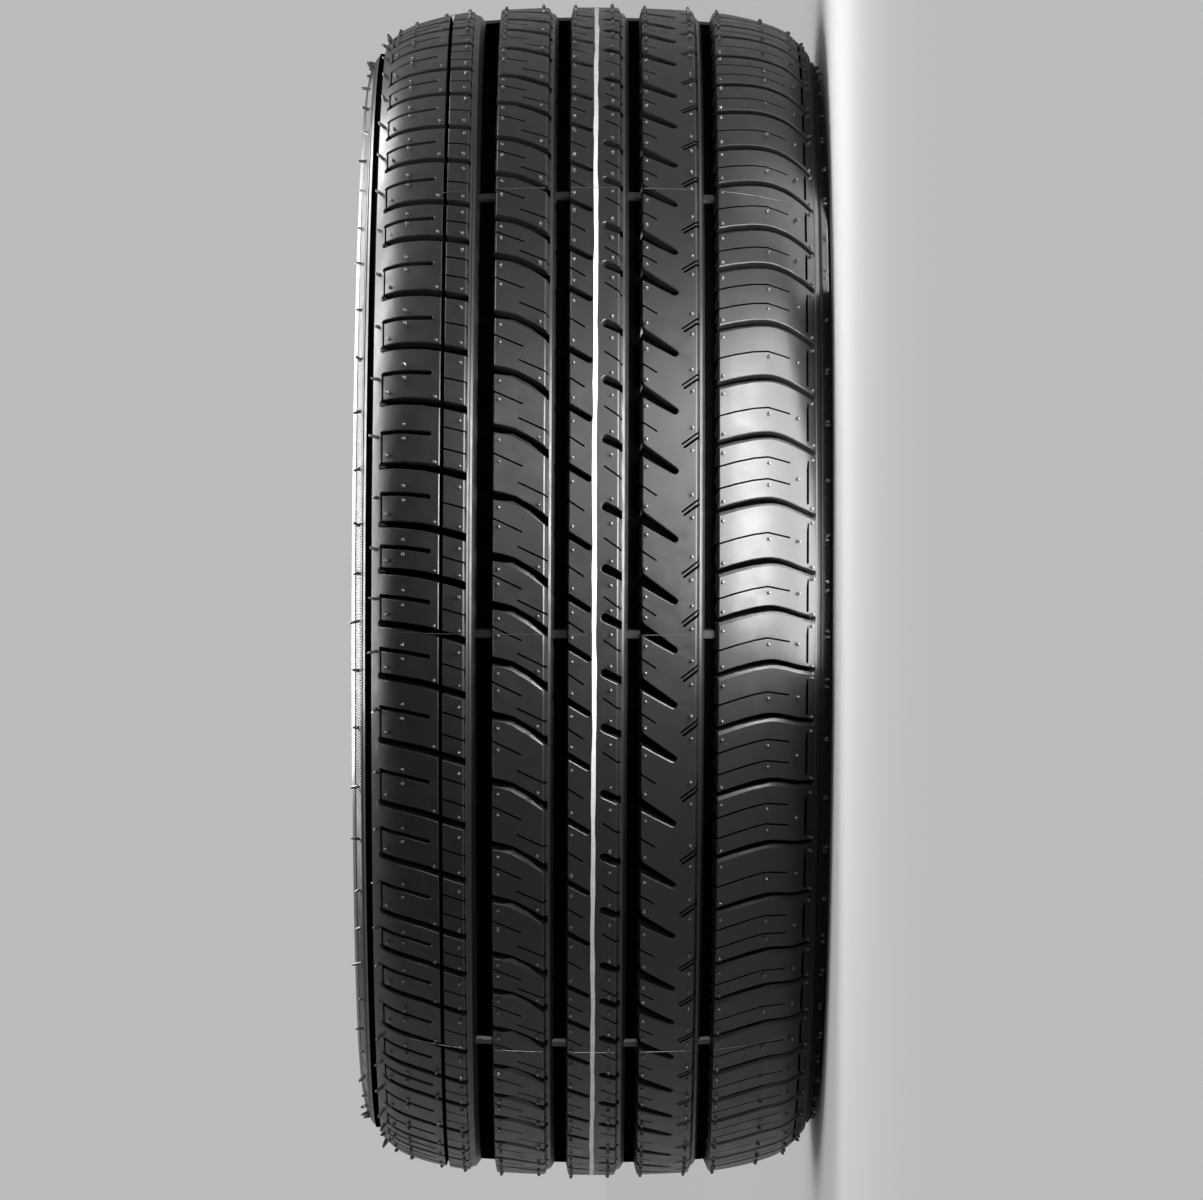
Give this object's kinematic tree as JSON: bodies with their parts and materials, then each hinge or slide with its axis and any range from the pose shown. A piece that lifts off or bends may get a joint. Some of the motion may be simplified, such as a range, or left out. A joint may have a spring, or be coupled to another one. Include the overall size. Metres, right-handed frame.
{
  "type": "car tyre",
  "caption": "Low-profile road tyre moulded as one piece, with round grooves, slanted shoulder grooves and two bead seats for a drop-centre rim.",
  "frame": {"origin": "centre of the wheel, on the spin axis in the middle plane of the tread", "axes": "+Z along the spin axis, out of the upper sidewall; the tyre lies on its lower sidewall; X and Y are in the middle plane"},
  "size_m": [0.653, 0.6528, 0.253],
  "materials": {
    "tyre": "satin"
  },
  "bodies": {
    "root": {"tyre": "tyre"}
  },
  "joints": []
}
